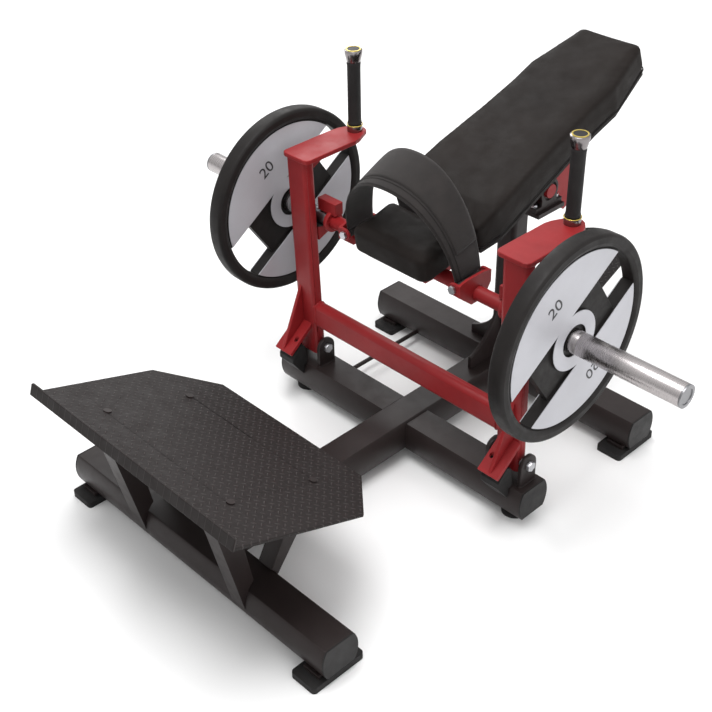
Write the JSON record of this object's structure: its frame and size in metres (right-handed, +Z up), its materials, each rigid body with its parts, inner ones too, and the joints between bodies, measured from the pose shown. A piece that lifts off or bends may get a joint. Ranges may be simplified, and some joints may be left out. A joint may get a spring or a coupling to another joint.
{
  "type": "hip thrust machine",
  "caption": "Plate-loaded hip thrust machine: sloping foot plate, pivoting padded lever with a hip belt and weight discs, and swing-away props with upright hand grips.",
  "frame": {"origin": "on the floor, in the middle of the machine's overall box", "axes": "X across the machine, Y from the foot plate end (-Y) to the head end (+Y), Z up"},
  "size_m": [1.387, 1.5472, 0.8538],
  "materials": {
    "frame_paint": "satin dark brown-black powder coat",
    "red_paint": "satin red powder coat",
    "bright_steel": "satin chrome plate",
    "zinc": "zinc plated",
    "black_rubber": "matt moulded rubber",
    "grip_rubber": "fine knurled rubber",
    "upholstery": "fine grained synthetic leather over foam",
    "board": "black coated plywood",
    "webbing": "heavy padded belt",
    "disc_body": "matt black casting",
    "disc_silver": "silver lacquer",
    "trim_yellow": "gloss yellow",
    "plastic": "matt moulded plastic",
    "roller_grey": "plain turned steel"
  },
  "bodies": {
    "base": {"front_tube": "frame_paint", "mid_tubes": "frame_paint", "rear_tube": "frame_paint", "spine_tube": "frame_paint", "tube_caps": "plastic", "foot_necks": "frame_paint", "rubber_feet": "black_rubber", "levelling_feet": "plastic", "foot_plate": "frame_paint", "front_struts": "frame_paint", "rear_struts": "frame_paint", "foot_plate_bolts": "zinc", "hinge_ears": "frame_paint", "hinge_bolts": "zinc", "bumpers": "black_rubber", "upright": "frame_paint", "upright_gussets": "frame_paint", "bearing_plate": "frame_paint", "pillow_blocks": "frame_paint", "bearing_bolts": "zinc", "rear_step": "frame_paint", "rear_step_arm": "frame_paint", "tie_rod": "frame_paint"},
    "props": {"posts": "red_paint", "post_bushings": "zinc", "cross_tube": "red_paint", "stop_plates": "red_paint", "stop_webs": "red_paint", "arm_plates": "red_paint", "arm_gussets": "red_paint", "saddles": "red_paint", "saddle_pads": "black_rubber", "grips": "grip_rubber", "grip_caps": "bright_steel", "grip_rings": "trim_yellow", "grip_inserts": "plastic", "grip_collars": "bright_steel"},
    "lever": {"load_bar": "red_paint", "rollers": "roller_grey", "stop_collars": "red_paint", "sleeves": "bright_steel", "sleeve_caps": "bright_steel", "belt_brackets": "red_paint", "belt_bolts": "zinc", "hip_belt": "webbing", "lever_shaft": "red_paint", "lever_hub": "red_paint", "lever_plates": "red_paint", "lever_ties": "red_paint", "back_board": "board", "back_pad": "upholstery", "seat_board": "board", "seat_pad": "upholstery"},
    "disc_right": {"disc_core_right": "disc_body", "disc_rim_right": "black_rubber", "disc_faces_right": "disc_silver"},
    "disc_left": {"disc_core_left": "disc_body", "disc_rim_left": "black_rubber", "disc_faces_left": "disc_silver"}
  },
  "joints": [
    {"name": "props_swing", "type": "hinge", "parent": "base", "child": "props", "pos_m": [0, -0.00652, 0.14674], "axis": [1, 0, 0], "range_deg": [0, 10]},
    {"name": "lever_lift", "type": "hinge", "parent": "base", "child": "lever", "pos_m": [0, 0.36414, 0.56633], "axis": [-1, 0, 0], "range_deg": [0, 15]},
    {"name": "disc_right_slide", "type": "slide", "parent": "lever", "child": "disc_right", "axis": [1, 0, 0], "range_m": [0, 0.25]},
    {"name": "disc_left_slide", "type": "slide", "parent": "lever", "child": "disc_left", "axis": [-1, 0, 0], "range_m": [0, 0.25]}
  ]
}
